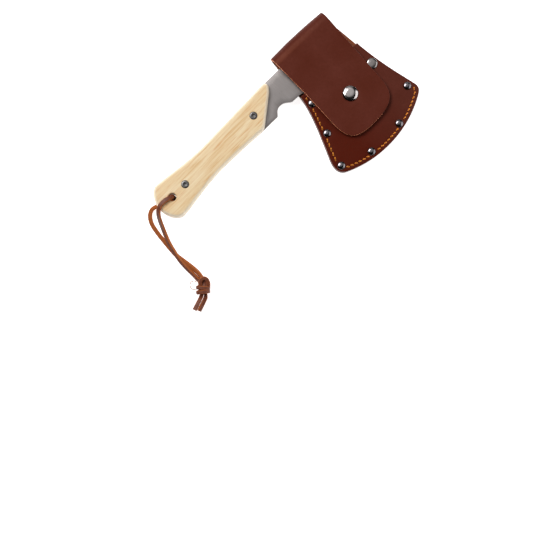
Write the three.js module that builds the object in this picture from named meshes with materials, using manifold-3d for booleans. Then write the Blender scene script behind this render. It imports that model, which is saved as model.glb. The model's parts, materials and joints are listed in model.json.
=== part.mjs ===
// Carving hatchet with a riveted leather edge sheath and a leather lanyard, lying on its back face.
//
// Millimetres. The hatchet's own frame has +X along the handle towards the head, +Y from the
// cutting edge towards the spine and +Z out of the front face, with the rear handle screw at
// X = 0, Y = 0 and the steel's middle plane at Z = 0. The finished object is tilted a little, as
// it lies on a flat surface, and its origin is under the middle of the hatchet and its sheath.

import * as THREE from 'three';
import { mergeVertices } from 'three/addons/utils/BufferGeometryUtils.js';
import Module from 'manifold-3d';

const wasm = await Module();
wasm.setup();

const { degToRad, lerp } = THREE.MathUtils;

// ---------------------------------------------------------------- driving dimensions

const gap = 0.3; // between pieces that touch

// Steel
const steelHalf = 2.5;
const edgeCentre = { x: 181.85, y: -40.4 };
const edgeRadius = 60;
const toeAngle = degToRad(310.6);
const heelAngle = degToRad(232.7);
const grindCentre = { x: 179.1, y: 5.2 }; // centre of the line where the main bevel starts
const grindRadius = 87.3;
const honedWidth = 3;
const honedHalf = 0.7; // half the thickness where the honed bevel starts
const edgeHalf = 0.12;

// Handle
const scaleThickness = 9.2;
const scaleInner = steelHalf + gap;
const scaleOuter = scaleInner + scaleThickness;
const scaleRoundWidth = 3.3;
const scaleRoundDepth = 5.5;
const screwPlaces = { rear: 0, front: 95.8 };
const screwHeadRadius = 3.7;
const screwHeadHeight = 2.4;
const screwSink = 0.2; // how far the heads sit below the wood
const barrelRadius = 2.8;
const boltRadius = 1.6;
const boltEnd = -6; // the bolt's end inside the sleeve nut
const screwBevel = 0.5;
const socketRadius = 1.6;
const socketDepth = 1.5;
const laceHoleX = -17.9;
const laceHoleRadius = 4;
const laceHoleChamfer = 0.8;
const laceHoleSides = 20;

// Sheath, layer by layer through its thickness
const leather = 3;
const cavityHalf = steelHalf + 0.4;
const panelTop = cavityHalf + leather;
const flapUnder = panelTop + 2.6;
const flapTop = flapUnder + leather;
const weltHalf = cavityHalf - gap;

// Sheath outline
const mouthLeft = { x: 142.8, y: -19.8 };
const mouthRight = { x: 221, y: -21.4 };
const bellyCentre = { x: 171.9, y: -2.6 };
const bellyRadius = 113;
const weltInnerRadius = 101;
const stitchRadius = 109;

// The strap folds over the spine along a line that drops a little towards the toe side.
const foldLeft = { x: 148.2, y: 19.64 };
const foldRight = { x: 217.2, y: 17 };
const foldCentreZ = (flapUnder - cavityHalf) / 2;
const foldInner = flapUnder - foldCentreZ;

// Fasteners of the sheath
const rivetPlaces = [
  { x: 146.1, y: -32.1 },
  { x: 135.6, y: -63.7 },
  { x: 122.7, y: -96.3 },
  { x: 154, y: -107.7 },
  { x: 193.3, y: -107.7 },
  { x: 225.8, y: -87.1 },
];
const rivetRadius = 4;
const rivetDome = 1.6;
const rivetRim = 0.4; // height of the straight rim under a rivet's dome
const rivetHole = 2.2;
const rivetStemBore = 1.45;
const rivetStemRadius = 1.85;
const rivetPostRadius = 1.15;
const snapPlace = { x: 179.3, y: -52.4 };
const snapRadius = 7.9;
const snapRim = 0.5; // height of the straight rim under the snap's dome
const snapDome = 1.9;
const snapSocketRadius = 6.2;
const snapSocketBore = 4.2;
const snapSocketDepth = 1.9;
const snapStudBase = 3.5;
const snapStudNeck = 2.7;
const snapStudHead = 3.1;
const sideRivetPlace = { x: 216.6, y: -46.4 };
const sideRivetRadius = 5.7;
const sideRivetDome = 1.2;
const threadRadius = 0.5;
const threadHole = 0.9;

// Lanyard
const laceRadius = 1.7;

// It lies on the front end of its handle, at this X, and on the back of the sheath's last rivet.
const handleRestX = 121;
const sheathRest = { x: 225.8, z: -(panelTop + gap + rivetDome) };
const restPitch = Math.atan2(scaleOuter + sheathRest.z, sheathRest.x - handleRestX);

// ---------------------------------------------------------------- finishes

const finishes = {
  steel: { color: 0x9a938f, roughness: 0.38, metalness: 1 },
  pine: { color: 0xe2c698, roughness: 0.55, metalness: 0 },
  screw: { color: 0x77777c, roughness: 0.35, metalness: 1 },
  leather: { color: 0x5a2a23, roughness: 0.6, metalness: 0 },
  welt: { color: 0x7a4630, roughness: 0.8, metalness: 0 },
  nickel: { color: 0x8f8c8d, roughness: 0.25, metalness: 1 },
  chrome: { color: 0xc4bfbd, roughness: 0.12, metalness: 1 },
  thread: { color: 0xe0801a, roughness: 0.7, metalness: 0 },
  lace: { color: 0x5e3020, roughness: 0.7, metalness: 0 },
};

// ---------------------------------------------------------------- solids

// A closed geometry as a solid that can be cut and joined.
function solid(geometry) {
  const bare = geometry.clone();
  bare.deleteAttribute('normal');
  bare.deleteAttribute('uv');
  const merged = mergeVertices(bare);
  const corners = merged.index.array;
  const triangles = [];
  for (let i = 0; i < corners.length; i += 3) {
    const [a, b, c] = corners.slice(i, i + 3);
    if (a !== b && b !== c && c !== a) {
      triangles.push(a, b, c);
    }
  }
  return new wasm.Manifold(
    new wasm.Mesh({
      numProp: 3,
      vertProperties: new Float32Array(merged.attributes.position.array),
      triVerts: new Uint32Array(triangles),
    }),
  );
}

function geometryOf(body) {
  const mesh = body.getMesh();
  const geometry = new THREE.BufferGeometry();
  geometry.setAttribute('position', new THREE.BufferAttribute(mesh.vertProperties, 3));
  geometry.setIndex(new THREE.BufferAttribute(mesh.triVerts, 1));
  geometry.computeVertexNormals();
  return geometry;
}

function without(body, cutters) {
  return cutters.reduce((rest, cutter) => rest.subtract(solid(cutter)), body);
}

// A flat outline made into a plate between two heights.
function plate(shape, low, high, curveSegments = 7) {
  const geometry = new THREE.ExtrudeGeometry(shape, {
    depth: high - low,
    bevelEnabled: false,
    curveSegments,
  });
  return geometry.translate(0, 0, low);
}

function box(lowX, lowY, lowZ, highX, highY, highZ) {
  const geometry = new THREE.BoxGeometry(highX - lowX, highY - lowY, highZ - lowZ);
  return geometry.translate((lowX + highX) / 2, (lowY + highY) / 2, (lowZ + highZ) / 2);
}

// A round bar along Z. Its radius may change evenly from the low end to the high end.
function bar(place, radius, low, high, { sides = 16, highRadius = radius } = {}) {
  const geometry = new THREE.CylinderGeometry(highRadius, radius, high - low, sides);
  geometry.rotateX(Math.PI / 2);
  return geometry.translate(place.x, place.y, (low + high) / 2);
}

// A profile of [radius, height] points turned about Z. It runs from the bottom of the piece
// outwards and up to its top, and starts and ends on the axis or closes on itself.
function turned(place, profile, sides = 16) {
  const points = profile.map(([radius, height]) => new THREE.Vector2(radius, height));
  const geometry = new THREE.LatheGeometry(points, sides);
  geometry.rotateX(Math.PI / 2);
  return geometry.translate(place.x, place.y, 0);
}

// The [radius, height] points of a shallow dome from its rim to its top, or from its top to its
// rim where it hangs down.
function domeProfile(radius, rim, rise, steps = 3) {
  const points = [];
  for (let i = 0; i <= steps; i += 1) {
    const turn = ((i / steps) * Math.PI) / 2;
    points.push([radius * Math.cos(turn), rim + rise * Math.sin(turn)]);
  }
  points[steps][0] = 0;
  return points;
}

// A round cord along a smooth line through the given points.
function cord(points, radius, steps, sides = 8) {
  const section = new THREE.Shape();
  section.absarc(0, 0, radius, 0, 2 * Math.PI);
  const path = new THREE.CatmullRomCurve3(
    points.map(([x, y, z]) => new THREE.Vector3(x, y, z)),
    false,
    'centripetal',
  );
  return new THREE.ExtrudeGeometry(section, {
    steps,
    extrudePath: path,
    curveSegments: sides / 2,
    bevelEnabled: false,
  });
}

// ---------------------------------------------------------------- outlines

// The grip from the lower side of its waist, round the butt, to the upper side of its waist.
function traceButt(shape) {
  shape.bezierCurveTo(12, -14.6, -6, -19.4, -21, -20.4);
  shape.bezierCurveTo(-30, -20.4, -35.4, -9, -35.4, 0);
  shape.bezierCurveTo(-34.8, 9, -28, 20, -21, 20);
  shape.bezierCurveTo(-6, 19.2, 12, 14.6, 38, 14.4);
}

function steelOutline() {
  const shape = new THREE.Shape();
  shape.moveTo(38, -14.4);
  traceButt(shape);
  shape.quadraticCurveTo(70, 14.9, 122, 15.9);
  // spine, top edge of the head, cutting edge
  shape.lineTo(148, 15.4);
  shape.quadraticCurveTo(160, 14.6, 188.6, 10.6);
  shape.bezierCurveTo(196, -22, 206, -52, 220.9, -85.9);
  shape.absarc(edgeCentre.x, edgeCentre.y, edgeRadius, toeAngle, heelAngle, true);
  // beard and the lower side of the neck
  shape.bezierCurveTo(148.5, -72, 154, -52, 154.3, -37);
  shape.bezierCurveTo(154.6, -24, 150, -17.6, 142.7, -17.2);
  shape.lineTo(135.5, -16.9);
  // finger notch
  shape.bezierCurveTo(131.5, -16.9, 129.5, -11, 122.4, -11);
  shape.bezierCurveTo(117.5, -11, 115.5, -14.8, 113.2, -17);
  shape.lineTo(92, -16.8);
  shape.quadraticCurveTo(68, -14.9, 38, -14.4);
  return shape;
}

function scaleOutline() {
  const shape = new THREE.Shape();
  shape.moveTo(38, -14.4);
  traceButt(shape);
  shape.quadraticCurveTo(70, 14.9, 124.2, 16.1);
  shape.absarc(124.2, 12.2, 3.9, Math.PI / 2, degToRad(-35), true);
  shape.quadraticCurveTo(124.5, 5.8, 119, 1.9);
  shape.lineTo(97, -14.8);
  shape.quadraticCurveTo(94.6, -16.9, 91, -16.7);
  shape.quadraticCurveTo(68, -14.9, 38, -14.4);
  return shape;
}

// The sheath below its mouth: down the beard side, round the heel corner, along the belly, round
// the toe corner and up the toe side to the point given.
function traceBelly(shape, toeSideEnd) {
  shape.bezierCurveTo(139.6, -40, 129.1, -62, 119, -85);
  shape.bezierCurveTo(115.4, -93.5, 115.8, -100, 122, -104);
  const heelTurn = Math.atan2(-104 - bellyCentre.y, 122 - bellyCentre.x);
  const toeTurn = Math.atan2(-100.8 - bellyCentre.y, 227.7 - bellyCentre.x);
  shape.absarc(bellyCentre.x, bellyCentre.y, bellyRadius, heelTurn, toeTurn, false);
  shape.bezierCurveTo(232.3, -98.2, 234.2, -95.5, 232.8, -90);
  shape.bezierCurveTo(229.4, -74, 222.8, -50, toeSideEnd.x, toeSideEnd.y);
}

function frontPanelOutline() {
  const shape = new THREE.Shape();
  shape.moveTo(mouthLeft.x, mouthLeft.y);
  traceBelly(shape, mouthRight);
  shape.closePath();
  return shape;
}

function backPanelOutline() {
  const shape = new THREE.Shape();
  shape.moveTo(mouthLeft.x, mouthLeft.y);
  traceBelly(shape, { x: 221.2, y: mouthRight.y });
  shape.lineTo(218.8, 5);
  shape.lineTo(foldRight.x, foldRight.y - gap);
  shape.lineTo(foldLeft.x, foldLeft.y - gap);
  shape.closePath();
  return shape;
}

function weltOutline() {
  const shape = new THREE.Shape();
  shape.moveTo(mouthLeft.x, mouthLeft.y);
  traceBelly(shape, mouthRight);
  return shape;
}

// The space that the welt leaves for the blade, which comes out through the mouth and past the
// toe side.
function bladeSpaceOutline() {
  const shape = new THREE.Shape();
  shape.moveTo(148.6, -15);
  shape.lineTo(148.6, -20.2);
  shape.bezierCurveTo(146, -42, 137, -68, 130.5, -91);
  const heelTurn = Math.atan2(-95 - bellyCentre.y, 131 - bellyCentre.x);
  const toeTurn = Math.atan2(-89.8 - bellyCentre.y, 222.2 - bellyCentre.x);
  shape.absarc(bellyCentre.x, bellyCentre.y, weltInnerRadius, heelTurn, toeTurn, false);
  shape.lineTo(222.8, -81.5);
  shape.lineTo(240, -81.5);
  shape.lineTo(240, -15);
  shape.closePath();
  return shape;
}

function flapOutline() {
  const shape = new THREE.Shape();
  shape.moveTo(foldLeft.x, foldLeft.y - gap);
  shape.quadraticCurveTo(148.6, -10, 146, -60);
  shape.bezierCurveTo(145, -83.5, 151.5, -89.5, 176, -89.6);
  shape.bezierCurveTo(205, -89.6, 211.5, -82, 211.9, -56);
  shape.lineTo(213.3, -38);
  shape.lineTo(216.2, 3);
  shape.lineTo(foldRight.x, foldRight.y - gap);
  shape.closePath();
  return shape;
}

// ---------------------------------------------------------------- hatchet

// A cone through two circles at two heights, leaning where their centres differ. It runs from
// the steel's middle plane to above its face.
function coneThrough(first, second) {
  const top = steelHalf + 1;
  const along = (z, key) => lerp(first[key], second[key], (z - first.z) / (second.z - first.z));
  const cone = bar({ x: 0, y: 0 }, along(0, 'radius'), 0, top, {
    sides: 100,
    highRadius: along(top, 'radius'),
  });
  const leanX = (along(top, 'x') - along(0, 'x')) / top;
  const leanY = (along(top, 'y') - along(0, 'y')) / top;
  cone.applyMatrix4(new THREE.Matrix4().set(
    1, 0, leanX, along(0, 'x'),
    0, 1, leanY, along(0, 'y'),
    0, 0, 1, 0,
    0, 0, 0, 1,
  ));
  return solid(cone);
}

// What the grinder takes off one face beside the cutting edge: the main bevel from its start
// line to the honed bevel, and the honed bevel on to the edge.
function grinding() {
  const honedStart = { ...edgeCentre, radius: edgeRadius - honedWidth, z: honedHalf };
  const main = coneThrough(honedStart, { ...grindCentre, radius: grindRadius, z: steelHalf });
  const honed = coneThrough({ ...edgeCentre, radius: edgeRadius, z: edgeHalf }, honedStart);
  return solid(box(135, -110, 0, 235, -66, steelHalf + 1)).subtract(main.intersect(honed));
}

function headAndTang() {
  let steel = solid(plate(steelOutline(), -steelHalf, steelHalf));
  const ground = grinding();
  steel = steel.subtract(ground).subtract(ground.mirror([0, 0, 1]));
  const through = (x, radius, sides) =>
    bar({ x, y: 0 }, radius, -steelHalf - 1, steelHalf + 1, { sides });
  return without(steel, [
    ...Object.values(screwPlaces).map((x) => through(x, barrelRadius + gap, 16)),
    through(laceHoleX, laceHoleRadius, laceHoleSides),
  ]);
}

// One wooden scale, on the front face. The back one is its mirror image.
function scale() {
  const rounded = new THREE.ExtrudeGeometry(scaleOutline(), {
    depth: 2 * (scaleThickness - scaleRoundDepth),
    curveSegments: 6,
    bevelThickness: scaleRoundDepth,
    bevelSize: scaleRoundWidth,
    bevelOffset: -scaleRoundWidth,
    bevelSegments: 2,
  });
  rounded.translate(0, 0, scaleInner - scaleThickness + scaleRoundDepth);
  const cutters = [box(-50, -30, -20, 150, 30, scaleInner)];
  for (const x of Object.values(screwPlaces)) {
    cutters.push(bar({ x, y: 0 }, barrelRadius + gap, 0, scaleOuter));
    const seat = scaleOuter - screwSink - screwHeadHeight - gap;
    cutters.push(bar({ x, y: 0 }, screwHeadRadius + gap, seat, scaleOuter + 1));
  }
  const laceHole = { x: laceHoleX, y: 0 };
  cutters.push(bar(laceHole, laceHoleRadius, 0, scaleOuter + 1, { sides: laceHoleSides }));
  const mouthTop = scaleOuter + 0.2;
  const mouthLow = scaleOuter - laceHoleChamfer;
  cutters.push(bar(laceHole, laceHoleRadius, mouthLow, mouthTop, {
    sides: laceHoleSides,
    highRadius: laceHoleRadius + mouthTop - mouthLow,
  }));
  return without(solid(rounded), cutters);
}

// The bolt of a handle screw, put in from the front, with a six-sided socket in its head.
function screwBolt(x) {
  const top = scaleOuter - screwSink;
  const shoulder = top - screwHeadHeight;
  const body = turned({ x, y: 0 }, [
    [0, boltEnd],
    [boltRadius, boltEnd],
    [boltRadius, shoulder],
    [screwHeadRadius, shoulder],
    [screwHeadRadius, top - screwBevel],
    [screwHeadRadius - screwBevel, top],
    [0, top],
  ]);
  const socket = bar({ x, y: 0 }, socketRadius, top - socketDepth, top + 1, { sides: 6 });
  return without(solid(body), [socket]);
}

// The sleeve nut of a handle screw, put in from the back.
function sleeveNut(x) {
  const back = -scaleOuter + screwSink;
  const shoulder = back + screwHeadHeight;
  const end = scaleOuter - screwSink - screwHeadHeight - 2 * gap;
  return turned({ x, y: 0 }, [
    [0, back],
    [screwHeadRadius - screwBevel, back],
    [screwHeadRadius, back + screwBevel],
    [screwHeadRadius, shoulder],
    [barrelRadius, shoulder],
    [barrelRadius, end],
    [boltRadius + gap, end],
    [boltRadius + gap, boltEnd - 1],
    [0, boltEnd - 1],
  ]);
}

// ---------------------------------------------------------------- sheath

const rivetSeat = panelTop + gap;

function rivetHoles() {
  return rivetPlaces.map((place) => bar(place, rivetHole, -panelTop - 1, panelTop + 1, { sides: 12 }));
}

// The stretches of stitching between the rivets, each as the points that its thread follows on
// the face of the leather.
function stitchRuns() {
  const left = new THREE.CubicBezierCurve(
    new THREE.Vector2(146.3, -20),
    new THREE.Vector2(143.4, -42),
    new THREE.Vector2(132.6, -63),
    new THREE.Vector2(121.2, -92),
  );
  const onLeft = (from, to) => [0, 1, 2, 3].map((i) => left.getPoint(from + ((to - from) * i) / 3));
  const onBelly = (from, to, count) =>
    Array.from({ length: count }, (_, i) => {
      const turn = degToRad(from + ((to - from) * i) / (count - 1));
      return {
        x: bellyCentre.x + stitchRadius * Math.cos(turn),
        y: bellyCentre.y + stitchRadius * Math.sin(turn),
      };
    });
  return [
    onLeft(0.06, 0.11),
    onLeft(0.25, 0.57),
    onLeft(0.69, 0.97),
    onBelly(244.6, 258, 5),
    onBelly(263.6, 279, 5),
    onBelly(284.8, 299, 5).concat([
      { x: 227.4, y: -96.2 },
      { x: 229.4, y: -92.2 },
    ]),
  ];
}

function stitchHoles() {
  return stitchRuns()
    .flatMap((run) => [run[0], run[run.length - 1]])
    .map((place) => bar(place, threadHole, -panelTop - 1, panelTop + 1, { sides: 6 }));
}

// One stretch of thread: along the front, through the layers and back along the back.
function thread(run) {
  const height = panelTop + gap + threadRadius;
  const along = (z) => solid(cord(run.map(({ x, y }) => [x, y, z]), threadRadius, run.length + 1, 6));
  const through = (place) => solid(bar(place, threadRadius, -height, height, { sides: 6 }));
  return along(height)
    .add(along(-height))
    .add(through(run[0]))
    .add(through(run[run.length - 1]));
}

// A piece set in the front panel from the inside has its flange sunk into the leather.
const flangeLow = cavityHalf + 0.1;
const flangeHigh = flangeLow + 0.4;
const setPostRadius = 1.1;

function setPost(place, flangeRadius) {
  return turned(place, [
    [0, flangeLow],
    [flangeRadius, flangeLow],
    [flangeRadius, flangeHigh],
    [setPostRadius, flangeHigh],
    [setPostRadius, panelTop],
    [0, panelTop],
  ]);
}

function setPostSeat(place, flangeRadius, stemRadius) {
  return [
    bar(place, flangeRadius + gap, cavityHalf - 1, flangeHigh + gap),
    bar(place, stemRadius + gap, cavityHalf, panelTop + 1),
  ];
}

const snapFlange = 4.8;
const snapStem = 2;
const sideFlange = 4.2;
const sideStem = 1.8;

function frontPanel() {
  return without(solid(plate(frontPanelOutline(), cavityHalf, panelTop)), [
    ...rivetHoles(),
    ...stitchHoles(),
    ...setPostSeat(snapPlace, snapFlange, snapStem),
    ...setPostSeat(sideRivetPlace, sideFlange, sideStem),
  ]);
}

function backPanel() {
  const panel = solid(plate(backPanelOutline(), -panelTop, -cavityHalf));
  return without(panel, [...rivetHoles(), ...stitchHoles()]);
}

function welt() {
  const full = solid(plate(weltOutline(), -weltHalf, weltHalf));
  const space = plate(bladeSpaceOutline(), -weltHalf - 1, weltHalf + 1);
  return without(full, [space, ...rivetHoles(), ...stitchHoles()]);
}

// The strap's fold over the spine: half a ring between the back panel and the flap.
function flapFold() {
  const outer = foldInner + leather;
  const section = new THREE.Shape();
  section.absarc(0, 0, outer, -Math.PI / 2, Math.PI / 2, false);
  section.absarc(0, 0, foldInner, Math.PI / 2, -Math.PI / 2, true);
  section.closePath();
  const run = { x: foldRight.x - foldLeft.x, y: foldRight.y - foldLeft.y };
  const geometry = plate(section, 0, Math.hypot(run.x, run.y), 6);
  // the section's own X and Y become +Y and +Z, and its depth runs along the fold
  geometry.applyMatrix4(new THREE.Matrix4().makeBasis(
    new THREE.Vector3(0, 1, 0),
    new THREE.Vector3(0, 0, 1),
    new THREE.Vector3(1, 0, 0),
  ));
  geometry.rotateZ(Math.atan2(run.y, run.x));
  return geometry.translate(foldLeft.x, foldLeft.y, foldCentreZ);
}

function flap() {
  const stemHole = bar(snapPlace, snapStem + gap, flapUnder - 1, flapTop + 1);
  return without(solid(plate(flapOutline(), flapUnder, flapTop)), [stemHole]);
}

// The cap half of a rivet, with a hollow stem that reaches down to the middle of the layers.
function rivetCap(place) {
  return turned(place, [
    [rivetStemBore, 0],
    [rivetStemRadius, 0],
    [rivetStemRadius, rivetSeat],
    [rivetRadius, rivetSeat],
    ...domeProfile(rivetRadius, rivetSeat + rivetRim, rivetDome - rivetRim),
    [0, panelTop - gap],
    [rivetStemBore, panelTop - gap],
    [rivetStemBore, 0],
  ], 12);
}

// The back half of a rivet, whose post goes up inside the cap's stem.
function rivetPost(place) {
  return turned(place, [
    ...domeProfile(rivetRadius, -rivetSeat - rivetRim, rivetRim - rivetDome).reverse(),
    [rivetRadius, -rivetSeat],
    [rivetPostRadius, -rivetSeat],
    [rivetPostRadius, panelTop - 2 * gap],
    [0, panelTop - 2 * gap],
  ], 12);
}

function snapCap() {
  const seat = flapTop + gap;
  return turned(snapPlace, [
    [0, flapUnder - 2 * gap],
    [snapStem, flapUnder - 2 * gap],
    [snapStem, seat],
    [snapRadius - snapRim, seat],
    ...domeProfile(snapRadius, seat + snapRim, snapDome, 4),
  ], 24);
}

// The socket half of the snap, under the flap.
function snapSocket() {
  const top = flapUnder - gap;
  const bottom = top - snapSocketDepth;
  const sheet = 0.5;
  const rounding = 0.3;
  return turned(snapPlace, [
    [snapSocketBore, bottom],
    [snapSocketRadius, bottom],
    [snapSocketRadius, top - rounding],
    [snapSocketRadius - rounding, top],
    [snapStem + gap, top],
    [snapStem + gap, top - sheet],
    [snapSocketBore, top - sheet],
    [snapSocketBore, bottom],
  ], 20);
}

// The stud half of a snap or the cap of a rivet that is set in the front panel: a hollow stem
// through the leather, and what stands on the face.
function setCap(place, stemRadius, faceProfile, sides) {
  const bore = setPostRadius + gap;
  return turned(place, [
    [bore, flangeHigh + gap],
    [stemRadius, flangeHigh + gap],
    [stemRadius, rivetSeat],
    ...faceProfile,
    [0, panelTop + 0.5],
    [bore, panelTop + 0.5],
    [bore, flangeHigh + gap],
  ], sides);
}

function snapStud() {
  const top = rivetSeat + 1.2;
  return setCap(snapPlace, snapStem, [
    [snapStudBase, rivetSeat],
    [snapStudBase, top - 0.9],
    [snapStudNeck, top - 0.7],
    [snapStudHead, top - 0.3],
    [snapStudHead - 0.5, top],
    [0, top],
  ], 16);
}

function sideRivetCap() {
  return setCap(sideRivetPlace, sideStem, [
    [sideRivetRadius, rivetSeat],
    ...domeProfile(sideRivetRadius, rivetSeat + 0.5, sideRivetDome),
  ], 16);
}

// ---------------------------------------------------------------- lanyard

// The lace's two strands, from the middle of the hole to the knot, and its two ends past the
// knot. Heights are above the surface that the hatchet lies on.
const frontStrand = [
  [-16.8, 0.3, 17.9],
  [-16.6, 0.3, 21],
  [-16.5, 0.4, 24.4],
  [-17.1, 0.5, 28.2],
  [-19.7, 1.2, 31.3],
  [-24, 2.4, 32.5],
  [-27.6, 2.8, 32.5],
  [-31.5, 2.6, 32.1],
  [-35.6, 0.9, 30.6],
  [-39.7, -2.6, 25.6],
  [-43.1, -7.7, 17.6],
  [-46.3, -13.7, 10.6],
  [-49.5, -20.3, 6.8],
  [-52.6, -28, 5.8],
  [-54.6, -35.6, 6],
  [-56.4, -43, 6.1],
  [-57.6, -50.6, 5.4],
  [-58, -58, 3.4],
  [-58, -65, 2.2],
  [-58.1, -70.6, 2.2],
  [-58.4, -74.8, 2.8],
];
const backStrand = [
  [-16.9, -0.2, 17],
  [-16.4, -1, 13.4],
  [-16.6, -0.9, 9.6],
  [-18.2, -0.2, 5.8],
  [-21.3, 1.1, 2.9],
  [-25, 2.6, 2.2],
  [-30, 4.6, 2.2],
  [-35.4, 6.8, 2.2],
  [-41.1, 7.8, 2.2],
  [-46.7, 4.9, 2.2],
  [-51.2, -1.8, 2.2],
  [-53.4, -10.9, 2.2],
  [-54.9, -22.2, 2.2],
  [-56, -33.7, 2.2],
  [-56.3, -41.8, 2.2],
  [-55.3, -50, 2.2],
  [-54, -59.5, 2.2],
  [-53.4, -67.8, 2.2],
  [-53.7, -72.4, 2.4],
  [-54.5, -76, 3],
];
const knotCentre = [-59.4, -83.6, 5.7];
const knotHalf = [7.4, 9, 5.2];
const longTail = [
  [-67.4, -88.3, 3.2],
  [-71, -89.6, 2.2],
  [-76.6, -91.4, 2.2],
  [-82.6, -93.4, 2.2],
];
const shortTail = [
  [-65.2, -92.2, 3],
  [-69.2, -93.8, 2.2],
  [-74.4, -95.5, 2.2],
  [-80, -97.3, 2.2],
];

function knot() {
  const ball = new THREE.SphereGeometry(1, 14, 10);
  return ball.scale(...knotHalf).rotateZ(degToRad(-12)).translate(...knotCentre);
}

// ---------------------------------------------------------------- assembly

function addPiece(group, name, finish, piece) {
  const geometry = piece.isBufferGeometry ? piece : geometryOf(piece);
  const mesh = new THREE.Mesh(geometry, new THREE.MeshStandardMaterial(finish));
  mesh.name = name;
  group.add(mesh);
}

function hatchetGroup() {
  const group = new THREE.Group();
  addPiece(group, 'head_and_tang', finishes.steel, headAndTang());
  const frontScale = scale();
  addPiece(group, 'front_scale', finishes.pine, frontScale);
  addPiece(group, 'back_scale', finishes.pine, frontScale.mirror([0, 0, 1]));
  for (const [place, x] of Object.entries(screwPlaces)) {
    addPiece(group, `${place}_handle_bolt`, finishes.screw, screwBolt(x));
    addPiece(group, `${place}_sleeve_nut`, finishes.screw, sleeveNut(x));
  }
  return group;
}

function sheathGroup() {
  const group = new THREE.Group();
  addPiece(group, 'sheath_front_panel', finishes.leather, frontPanel());
  addPiece(group, 'sheath_back_panel', finishes.leather, backPanel());
  addPiece(group, 'sheath_welt', finishes.welt, welt());
  addPiece(group, 'flap_fold', finishes.leather, flapFold());
  addPiece(group, 'sheath_flap', finishes.leather, flap());
  rivetPlaces.forEach((place, i) => {
    addPiece(group, `rivet_cap_${i + 1}`, finishes.nickel, rivetCap(place));
    addPiece(group, `rivet_post_${i + 1}`, finishes.nickel, rivetPost(place));
  });
  stitchRuns().forEach((run, i) => {
    addPiece(group, `seam_thread_${i + 1}`, finishes.thread, thread(run));
  });
  addPiece(group, 'side_rivet_cap', finishes.nickel, sideRivetCap());
  addPiece(group, 'side_rivet_post', finishes.nickel, setPost(sideRivetPlace, sideFlange));
  addPiece(group, 'snap_cap', finishes.chrome, snapCap());
  addPiece(group, 'snap_socket', finishes.nickel, snapSocket());
  addPiece(group, 'snap_stud', finishes.nickel, snapStud());
  addPiece(group, 'snap_post', finishes.nickel, setPost(snapPlace, snapFlange));
  return group;
}

function lanyardGroup() {
  const group = new THREE.Group();
  addPiece(group, 'lanyard_front_strand', finishes.lace, cord(frontStrand, laceRadius, 38));
  addPiece(group, 'lanyard_back_strand', finishes.lace, cord(backStrand, laceRadius, 32));
  addPiece(group, 'lanyard_knot', finishes.lace, knot());
  addPiece(group, 'lanyard_long_tail', finishes.lace, cord(longTail, laceRadius, 4));
  addPiece(group, 'lanyard_short_tail', finishes.lace, cord(shortTail, laceRadius, 4));
  return group;
}

// The hatchet and its sheath are tilted as they lie and set down on the surface, and the whole
// object is then centred on them.
const tilted = new THREE.Group();
tilted.add(hatchetGroup(), sheathGroup());
tilted.rotation.y = restPitch;
tilted.updateMatrixWorld(true);
const lying = new THREE.Box3().setFromObject(tilted, true);
tilted.position.z = -lying.min.z;

const carvingHatchet = new THREE.Group();
carvingHatchet.add(tilted, lanyardGroup());
const middle = lying.getCenter(new THREE.Vector3());
carvingHatchet.position.set(-middle.x, -middle.y, 0);

export default carvingHatchet;
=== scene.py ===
"""The looks of a carving hatchet in its leather sheath, built round its CAD frame.

Pieces are drawn in the hatchet's own frame, in millimetres: +X along the handle to the head, +Y from the
cutting edge to the spine, +Z out of the front face, and the rear handle screw at the origin. LIE places
them as the hatchet lies.
"""

import json
import math
from itertools import pairwise

import bmesh
import bpy
from mathutils import Matrix, Vector, geometry, kdtree, noise


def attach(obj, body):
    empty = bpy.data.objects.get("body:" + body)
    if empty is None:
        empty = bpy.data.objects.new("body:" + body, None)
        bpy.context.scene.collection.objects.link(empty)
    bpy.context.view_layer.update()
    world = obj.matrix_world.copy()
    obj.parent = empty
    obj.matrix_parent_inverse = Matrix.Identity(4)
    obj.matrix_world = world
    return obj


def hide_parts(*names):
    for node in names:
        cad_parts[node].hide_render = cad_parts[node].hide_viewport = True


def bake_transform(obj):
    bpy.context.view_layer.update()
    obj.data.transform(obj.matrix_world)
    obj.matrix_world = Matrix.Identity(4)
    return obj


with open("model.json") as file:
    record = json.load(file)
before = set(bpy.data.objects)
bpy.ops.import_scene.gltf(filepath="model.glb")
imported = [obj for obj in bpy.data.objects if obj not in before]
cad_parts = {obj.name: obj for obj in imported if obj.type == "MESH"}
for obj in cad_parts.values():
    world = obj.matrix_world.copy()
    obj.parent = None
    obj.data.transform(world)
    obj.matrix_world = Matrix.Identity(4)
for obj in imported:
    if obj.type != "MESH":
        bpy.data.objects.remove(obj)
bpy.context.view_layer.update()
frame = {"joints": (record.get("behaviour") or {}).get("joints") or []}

MM = 0.001

# ------------------------ driving dimensions, in millimetres

STEEL_HALF = 2.5
EDGE_CENTRE, EDGE_RADIUS = Vector((181.85, -40.4)), 60
TOE_ANGLE, HEEL_ANGLE = 310.6, 232.7
GRIND_CENTRE, GRIND_RADIUS = Vector((179.1, 5.2)), 87.3
HONED_WIDTH, HONED_HALF, EDGE_HALF = 3, 0.7, 0.12

SLAB_INNER, SLAB_OUTER = 2.52, 12
SLAB_ROUND = (3.3, 5.5)  # width and depth of the slabs' rounded rim
SCREW_PLACES = {"rear": 0, "front": 95.8}
SCREW_RADIUS, SCREW_SEAT_RADIUS, SCREW_SEAT_CHAMFER, SCREW_SINK = 3.85, 4.0, 0.1, 0.2
LACE_HOLE_X, LACE_HOLE_RADIUS, LACE_HOLE_CHAMFER = -17.9, 4, 0.8

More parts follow.
